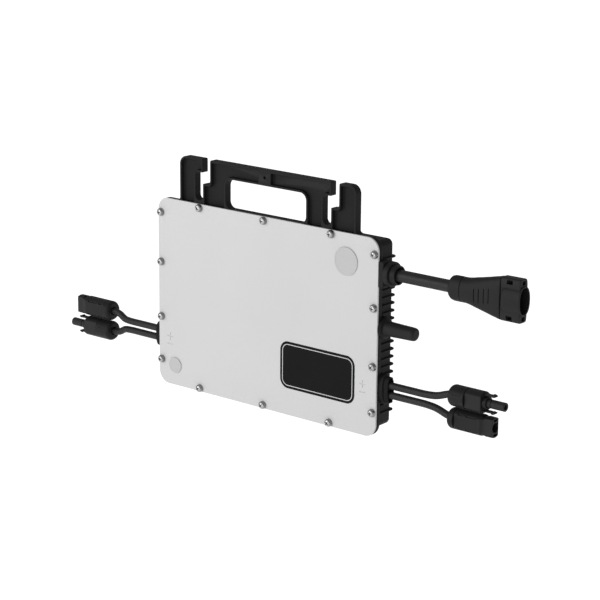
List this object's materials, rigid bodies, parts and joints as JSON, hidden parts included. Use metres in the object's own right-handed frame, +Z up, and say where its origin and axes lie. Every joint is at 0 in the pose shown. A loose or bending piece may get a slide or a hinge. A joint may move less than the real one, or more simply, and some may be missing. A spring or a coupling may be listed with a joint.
{
  "type": "micro inverter",
  "caption": "Flat two-panel solar micro inverter: finned black casting, grey screwed cover, slotted bracket with handle, AC lead with plug, paired DC leads with locking connectors, stub antenna",
  "frame": {"origin": "Flat back face of the mounting bracket on the unit's middle plane, 3.4 mm under its top edge, where the bracket bears on the rail it hangs from", "axes": "+X along the width towards the AC lead, +Y from the grey cover towards the fins (away from the viewer of the cover), +Z up"},
  "size_m": [0.5317, 0.037, 0.2224],
  "materials": {
    "cover_paint": "satin powder coat, light grey",
    "housing_casting": "satin black coated die casting",
    "gasket_silicone": "matte",
    "connector_plastic": "fine moulded grain",
    "antenna_plastic": "smooth satin",
    "insert_plastic": "matte",
    "cable_jacket": "satin jacket",
    "grommet_rubber": "matte",
    "screw_steel": "bright zinc",
    "contact_metal": "tin plate",
    "copper": "enamelled copper",
    "board": "solder mask",
    "component_dark": "moulded",
    "shield_can": "satin"
  },
  "bodies": {
    "inverter": {"front_cover": "cover_paint", "cover_gasket": "gasket_silicone", "rear_housing": "housing_casting", "mounting_bracket": "housing_casting", "ac_gland_body": "connector_plastic", "ac_gland_cap": "connector_plastic", "ac_cable": "cable_jacket", "ac_plug_nut": "connector_plastic", "ac_plug_body": "connector_plastic", "ac_plug_shell": "connector_plastic", "ac_plug_insert": "insert_plastic", "dc_grommet_left": "grommet_rubber", "dc_grommet_right": "grommet_rubber", "antenna_radome": "antenna_plastic", "antenna_element": "copper", "main_circuit_board": "board", "transformer_left": "component_dark", "transformer_right": "component_dark", "filter_choke": "copper", "grid_relay": "component_dark", "wireless_module": "shield_can", "bus_capacitor_1": "component_dark", "bus_capacitor_2": "component_dark", "cover_screw_01": "screw_steel", "cover_screw_02": "screw_steel", "cover_screw_03": "screw_steel", "cover_screw_04": "screw_steel", "cover_screw_05": "screw_steel", "cover_screw_06": "screw_steel", "cover_screw_07": "screw_steel", "cover_screw_08": "screw_steel", "cover_screw_09": "screw_steel", "cover_screw_10": "screw_steel", "cover_screw_11": "screw_steel", "cover_screw_12": "screw_steel", "cover_screw_13": "screw_steel", "cover_screw_14": "screw_steel", "ac_plug_contact_1": "contact_metal", "ac_plug_contact_2": "contact_metal", "ac_plug_contact_3": "contact_metal", "dc_plug_left_nut": "connector_plastic", "dc_plug_left_body": "connector_plastic", "dc_plug_left_contact": "contact_metal", "dc_socket_left_nut": "connector_plastic", "dc_socket_left_body": "connector_plastic", "dc_socket_left_contact": "contact_metal", "dc_cable_left_upper": "cable_jacket", "dc_cable_left_lower": "cable_jacket", "dc_plug_right_nut": "connector_plastic", "dc_plug_right_body": "connector_plastic", "dc_plug_right_contact": "contact_metal", "dc_socket_right_nut": "connector_plastic", "dc_socket_right_body": "connector_plastic", "dc_socket_right_contact": "contact_metal", "dc_cable_right_upper": "cable_jacket", "dc_cable_right_lower": "cable_jacket"},
    "dc_plug_left_arm_top": {"dc_plug_left_arm_top": "connector_plastic"},
    "dc_plug_left_arm_bottom": {"dc_plug_left_arm_bottom": "connector_plastic"},
    "dc_plug_right_arm_top": {"dc_plug_right_arm_top": "connector_plastic"},
    "dc_plug_right_arm_bottom": {"dc_plug_right_arm_bottom": "connector_plastic"}
  },
  "joints": [
    {"name": "dc_plug_right_arm_top_flex", "type": "hinge", "parent": "inverter", "child": "dc_plug_right_arm_top", "pos_m": [0.2402, -0.0001, -0.1574], "axis": [0, 1, 0], "range_deg": [0, 5], "stiffness_Nm_per_rad": 0.5},
    {"name": "dc_plug_right_arm_bottom_flex", "type": "hinge", "parent": "inverter", "child": "dc_plug_right_arm_bottom", "pos_m": [0.2402, -0.0001, -0.1718], "axis": [0, -1, 0], "range_deg": [0, 5], "stiffness_Nm_per_rad": 0.5},
    {"name": "dc_plug_left_arm_top_flex", "type": "hinge", "parent": "inverter", "child": "dc_plug_left_arm_top", "pos_m": [-0.235, -0.0001, -0.17755], "axis": [0, -1, 0], "range_deg": [0, 5], "stiffness_Nm_per_rad": 0.5},
    {"name": "dc_plug_left_arm_bottom_flex", "type": "hinge", "parent": "inverter", "child": "dc_plug_left_arm_bottom", "pos_m": [-0.235, -0.0001, -0.19195], "axis": [0, 1, 0], "range_deg": [0, 5], "stiffness_Nm_per_rad": 0.5}
  ]
}
